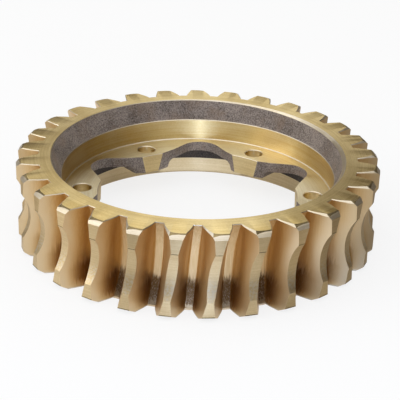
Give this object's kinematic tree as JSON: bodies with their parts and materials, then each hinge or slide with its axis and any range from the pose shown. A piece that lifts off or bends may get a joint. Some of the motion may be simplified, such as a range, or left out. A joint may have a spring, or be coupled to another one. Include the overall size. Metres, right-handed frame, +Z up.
{
  "type": "worm wheel",
  "caption": "Bronze worm wheel rim with throated, hobbed teeth outside and a scalloped bolting flange with turned registers inside.",
  "frame": {"origin": "on the wheel's axis, in the plane of the lower face that it lies on", "axes": "+Z up along the wheel's axis, towards the upper face; +X through a bolt hole"},
  "size_m": [0.2576, 0.2575, 0.0615],
  "materials": {
    "bronze": "turned and hobbed, with as-cast surfaces inside"
  },
  "bodies": {
    "root": {"worm_wheel": "bronze"}
  },
  "joints": []
}
